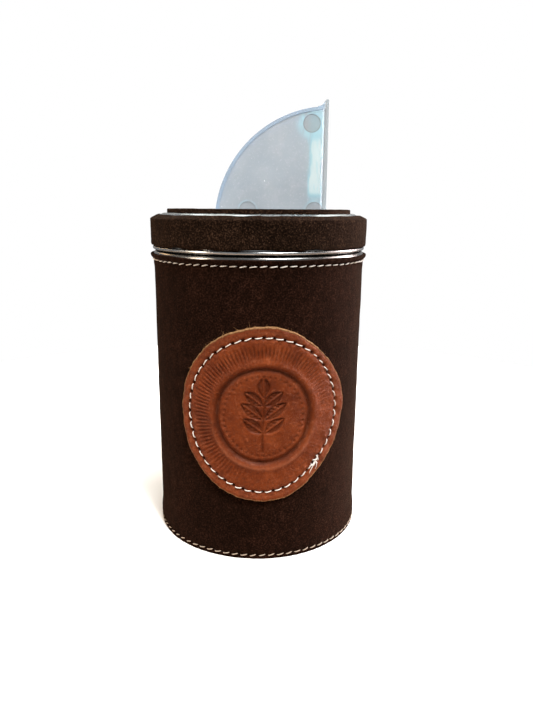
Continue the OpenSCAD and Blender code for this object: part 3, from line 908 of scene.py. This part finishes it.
def arc(x, z, radius, start, end, steps=20):
    """Points of an arc about (x, z), from start to end degrees."""
    a = np.radians(np.linspace(start, end, steps + 1))
    return [(x + radius * c, z + radius * s) for c, s in zip(np.cos(a), np.sin(a))]


def shortened(points, limit=2.5):
    """Closed polyline with its long sides cut into shorter ones."""
    made = []
    for here, after in zip(points, points[1:] + points[:1]):
        here, after = np.array(here), np.array(after)
        parts = max(1, ceil(np.linalg.norm(after - here) / limit))
        made.extend(here + (after - here) * k / parts for k in range(parts))
    return np.array(made)


def can_wall():
    """The can's wall with its stop bead, its curled mouth and its side seam."""
    bead_z, mouth_z = HEM_Z - 3, MOUTH_TOP - MOUTH_R
    inner = CAN_R - TIN
    wall = ([(inner, CAN_BOTTOM + 0.4), (CAN_R, CAN_BOTTOM + 0.4)]
            + arc(CAN_R, bead_z, BEAD_R, -90, 90)
            + arc(CAN_R - MOUTH_R, mouth_z, MOUTH_R, 0, 200)
            + arc(CAN_R - MOUTH_R, mouth_z, MOUTH_R - TIN, 200, 0)
            + arc(CAN_R, bead_z, BEAD_R - TIN, 90, -90)[:1] + [(inner, bead_z + BEAD_R)]
            + [(inner, bead_z - BEAD_R)])
    angles = all_round(360)
    points, faces = lathe(shortened(wall), angles)
    radius = np.hypot(points[..., 0], points[..., 1])
    angle = np.broadcast_to(angles[:, None], radius.shape)
    seam_half, seam_t = 3.2, 0.45
    seam = seam_t * step(seam_half - np.abs(angle - pi) * CAN_R, 0.35) * (radius < inner + 0.05)
    shift = 1 - seam * (points[..., 2] < bead_z - 4) / radius
    points[..., :2] *= shift[..., None]
    mesh_piece("can_wall", points, faces, "canister", "tinplate", SHADED_CAN_TIN, ["can_body"])


def can_end():
    """The can's end, with a pressed ring, folded round the foot of the wall."""
    low, high = node_box("can_base")
    foot, channel = high[0], CAN_R - 2 * TIN - 0.05
    floor_z, ring_h = low[2] + END_Z, 1.2
    end = ([(0.4, floor_z - TIN), (END_RING_R - 3, floor_z - TIN)]
           + arc(END_RING_R, floor_z - 1.0, ring_h, 120, 60, 8)
           + [(END_RING_R + 3, floor_z - TIN), (channel, floor_z - TIN), (channel, low[2]), (foot, low[2]),
              (foot, low[2] + SEAM_H), (foot - TIN, low[2] + SEAM_H), (foot - TIN, low[2] + TIN),
              (channel + TIN, low[2] + TIN), (channel + TIN, floor_z), (END_RING_R + 3, floor_z)]
           + arc(END_RING_R, floor_z - 1.0, ring_h + TIN, 60, 120, 8)
           + [(END_RING_R - 3, floor_z), (0.4, floor_z)])
    points, faces = lathe(shortened(end), all_round(180))
    mesh_piece("can_end", points, faces, "canister", "tinplate", SHADED_CAN_TIN, ["can_base"])


def base_disc():
    """The disc of sole leather that the canister stands on."""
    outline = [(0.4, 0, 0), (FOOT_IN_R - 0.1, 0, 0.5), (FOOT_IN_R - 0.1, BASE_T, 0.4), (0.4, BASE_T, 0)]
    profile = rounded(outline, lambda r, z: 1.5)
    points, faces = lathe(profile, all_round(240))
    mesh_piece("sole_disc", points, faces, "canister", "sole_leather", SOLE_LEATHER, ["base_disc"])


# ---- the lid ----

def window_outline(low, high, grow, corner):
    """Evenly spaced points round a rounded rectangle."""
    x0, y0, x1, y1 = low[0] - grow, low[1] - grow, high[0] + grow, high[1] + grow
    corners = [(x0, y0, corner), (x1, y0, corner), (x1, y1, corner), (x0, y1, corner)]
    return rounded(corners, lambda x, y: 0.5)


def windowed(window, profile, rim_r):
    """Sweeps a profile round a plate with a window. Its radius is 0 at the window's edge, and from
    rim_r outwards the plate is round."""
    direction = unit(window)
    radius = profile[None, :, 0]
    share = np.clip(radius / rim_r, 0, 1)[..., None]
    inside = window[:, None] + (direction[:, None] * rim_r - window[:, None]) * share
    outside = direction[:, None] * radius[..., None]
    flat = np.where(radius[..., None] > rim_r, outside, inside)
    z = np.broadcast_to(profile[:, 1], flat.shape[:2])
    return np.concatenate([flat, z[..., None]], axis=-1), grid_faces(*flat.shape[:2])


def lid_shell():
    """Stamped tin: panel with its window, sloping shoulder, skirt and a hem curled outwards."""
    low, high = node_box("spout_frame")
    window = window_outline(low + 2.0, high - 2.0, 0.2, 0.8)
    skirt_z = PANEL_Z - SHOULDER_H
    hem_x = LID_R + HEM_R - TIN
    profile = ([(0, PANEL_Z), (0, PANEL_Z - TIN), (PANEL_R - 0.3, PANEL_Z - TIN)]
               + [(LID_R - TIN - 0.5, skirt_z + 0.1), (LID_R - TIN, skirt_z - 0.6)]
               + arc(hem_x, HEM_Z, HEM_R, 180, 460) + arc(hem_x, HEM_Z, HEM_R - TIN, 460, 180)
               + [(LID_R, skirt_z - 0.5), (LID_R - 0.5, skirt_z + 0.2), (PANEL_R, PANEL_Z - 0.06),
                  (PANEL_R - 0.3, PANEL_Z)])
    points, faces = windowed(window, shortened(profile), PANEL_R - 0.5)
    mesh_piece("lid_tin", points, faces, "lid", "tinplate", LID_TIN, ["lid_shell"])


def band_push(angle, r, z):
    """Soft unevenness of the suede round the lid."""
    rest = around(angle, r, z)
    return 0.09 * waves(rest, 30, seed=41) + 0.06 * waves(rest, 6, seed=42)


def lid_band():
    """Suede round the skirt: a soft lower edge, and a top edge pared thin and turned in."""
    skirt_z = PANEL_Z - SHOULDER_H
    lap_r = LID_R - 1.4
    lap_z = PANEL_Z - SHOULDER_H * (lap_r - PANEL_R) / (LID_R - PANEL_R)
    outline = [
        (BAND_IN_R, BAND_LOW, 0.2), (BAND_R - 0.35, BAND_LOW, 0.3), (BAND_R, BAND_LOW + 1.2, 1.5),
        (BAND_R, skirt_z - 0.75, 0.7), (BAND_R - 1.4, skirt_z + 0.05, 0.8),
        (lap_r + 0.1, lap_z + 0.48, 0.15), (lap_r, lap_z + 0.08, 0),
        (BAND_IN_R + 0.05, skirt_z + 0.08, 0.1),
    ]
    profile = rounded(outline, lambda r, z: 0.7 if r > BAND_IN_R + 0.3 else 1.6)
    points, faces = lathe(profile, all_round(480), band_push)
    turned_in = step(points[..., 2] - skirt_z, 0.3)
    points[..., 2] += 0.10 * turned_in * waves(points, 11, seed=43)
    low_edge = step(BAND_LOW + 0.7 - points[..., 2], 0.2)
    points[..., 2] += 0.30 * low_edge * np.maximum(waves(points, 16, seed=44), 0)
    mesh_piece("suede_band", points, faces, "lid", "suede", LID_SUEDE, ["lid_band"])


def lid_disc():
    """Suede disc with a window for the spout, its rim cut a little unevenly."""
    low, high = node_box("spout_frame")
    window = window_outline(low, high, 0.4, 3.4)
    rim_r = DISC_R - 0.8
    outline = [(0, PANEL_Z + 0.02, 0.15), (DISC_R, PANEL_Z + 0.02, 0.2), (DISC_R - 0.1, LID_TOP, 0.45),
               (0, LID_TOP, 0.35)]
    profile = rounded(outline, lambda r, z: 0.9)
    points, faces = windowed(window, profile, rim_r)
    top = points[..., 2] > PANEL_Z + 1
    points[..., 2] += top * (0.06 * waves(points, 20, seed=51) + 0.03 * waves(points, 3, seed=52) - 0.05)
    rim = np.clip((np.broadcast_to(profile[:, 0], points.shape[:2]) - rim_r) / (DISC_R - rim_r), 0, 1)
    points[..., :2] *= 1 + (rim * 0.004 * waves(points * [1, 1, 0], 18, seed=53))[..., None]
    mesh_piece("suede_disc", points, faces, "lid", "suede", LID_SUEDE, ["lid_disc"])


# ---- the spout ----

def softened(node, name, width, body):
    """A copy of a CAD node with its edges rounded off, as moulded plastic is."""
    work = bmesh.new()
    work.from_mesh(frame["nodes"][node].data)
    bmesh.ops.remove_doubles(work, verts=work.verts, dist=2e-6)
    bmesh.ops.dissolve_limit(work, angle_limit=radians(1.0), verts=work.verts, edges=work.edges)
    sharp = [e for e in work.edges if len(e.link_faces) == 2 and e.calc_face_angle() > radians(35)]
    bmesh.ops.bevel(work, geom=sharp, offset=width * MM, segments=3, profile=0.5, affect="EDGES",
                    clamp_overlap=True)
    mesh = bpy.data.meshes.new(name)
    bmesh.ops.triangulate(work, faces=[f for f in work.faces if len(f.verts) > 4])
    work.to_mesh(mesh)
    work.free()
    mesh.shade_smooth()
    piece = placed(name, mesh)
    even = piece.modifiers.new("even_normals", "WEIGHTED_NORMAL")
    even.keep_sharp = False
    even.weight = 80
    return dress(piece, body, "clear_plastic", PLASTIC, [node])


def spout():
    """The frame in the lid and the spout's two halves."""
    softened("spout_frame", "frame_moulding", 0.22, "lid")
    softened("spout_front_half", "spout_cheek_front", 0.10, "spout")
    softened("spout_rear_half", "spout_cheek_rear", 0.10, "spout")


# ---- room, lights and camera ----

def floor():
    """A round pale floor."""
    grid = around(all_round(96)[:, None], np.array([[1.0, 120, 260, 420]]), 0.0)
    mesh = bpy.data.meshes.new("floor")
    faces = grid_faces(*grid.shape[:2], close_columns=False)
    mesh.from_pydata((grid.reshape(-1, 3) * MM).tolist(), [], faces.tolist())
    mesh.materials.append(pale_floor())
    placed("floor", mesh)


def lamp(name, kind, place, colour, energy, aim=(0, 0, 0.1), **settings):
    """A light at place, in metres, turned towards aim."""
    data = bpy.data.lights.new(name, kind)
    data.energy = energy
    data.color = colour
    for key, value in settings.items():
        setattr(data, key, value)
    holder = placed(name, data)
    holder.location = place
    holder.rotation_euler = (Vector(aim) - Vector(place)).to_track_quat("-Z", "Y").to_euler()


def panel(name, place, colour, energy, wide, high):
    """A soft box, wide and high in metres."""
    lamp(name, "AREA", place, colour, energy, shape="RECTANGLE", size=wide, size_y=high)


def lights():
    """Broad light from above and in front, and soft panels at the sides and behind."""
    lamp("overhead", "SUN", (0.40, -0.50, 1.25), (0.98, 0.99, 1.0), 3.7, angle=radians(35))
    lamp("key", "SPOT", (0.30, -0.62, 1.05), (1.0, 0.985, 0.97), 52.0, aim=(0, -0.05, 0.10),
         spot_size=radians(17), spot_blend=0.9, shadow_soft_size=0.09)
    panel("left_panel", (-0.75, -0.35, 0.35), (1.0, 0.82, 0.64), 5.0, 0.25, 0.5)
    panel("warm_panel", (-0.70, 0.55, 0.60), (1.0, 0.62, 0.30), 2.2, 0.35, 0.35)
    panel("right_panel", (0.72, 0.20, 0.35), (1.0, 0.84, 0.83), 10.5, 0.4, 0.6)
    panel("back_panel", (0.15, 0.75, 0.85), (0.93, 1.0, 0.97), 6.0, 1.0, 0.7)
    world = bpy.data.worlds.new("studio")
    world.use_nodes = True
    tree = world.node_tree
    room = tree.nodes["Background"]
    room.inputs["Color"].default_value = (0.92, 0.96, 1.0, 1)
    room.inputs["Strength"].default_value = 0.34
    backdrop = tree.nodes.new("ShaderNodeBackground")
    backdrop.inputs["Color"].default_value = (1, 1, 1, 1)
    seen = tree.nodes.new("ShaderNodeLightPath").outputs["Is Camera Ray"]
    either = tree.nodes.new("ShaderNodeMixShader")
    tree.links.new(seen, either.inputs["Fac"])
    tree.links.new(room.outputs[0], either.inputs[1])
    tree.links.new(backdrop.outputs[0], either.inputs[2])
    tree.links.new(either.outputs[0], tree.nodes["World Output"].inputs["Surface"])
    bpy.context.scene.world = world
    bpy.context.scene.view_settings.view_transform = "Standard"


def camera():
    """Level with the lid's top, looking a little down at the canister."""
    tilt, pan, roll = radians(13.83), radians(0.815), radians(0.412)
    lens = bpy.data.cameras.new("camera")
    lens.lens = 30.23
    lens.clip_start = 0.01
    holder = placed("camera", lens)
    forward = Vector((sin(pan) * cos(tilt), cos(pan) * cos(tilt), -sin(tilt)))
    level = Vector((cos(pan), -sin(pan), 0))
    up = level.cross(forward)
    right = cos(roll) * level + sin(roll) * up
    up = cos(roll) * up - sin(roll) * level
    turned = Matrix((right, up, -forward)).transposed()
    holder.matrix_world = Matrix.Translation(EYE) @ turned.to_4x4()
    bpy.context.scene.camera = holder


camera()
lights()
floor()
sleeve()
sleeve_stitching()
patch()
patch_stitching()
edge_fibres()
can_wall()
can_end()
base_disc()
lid_shell()
lid_band()
lid_disc()
spout()

bpy.context.view_layer.update()
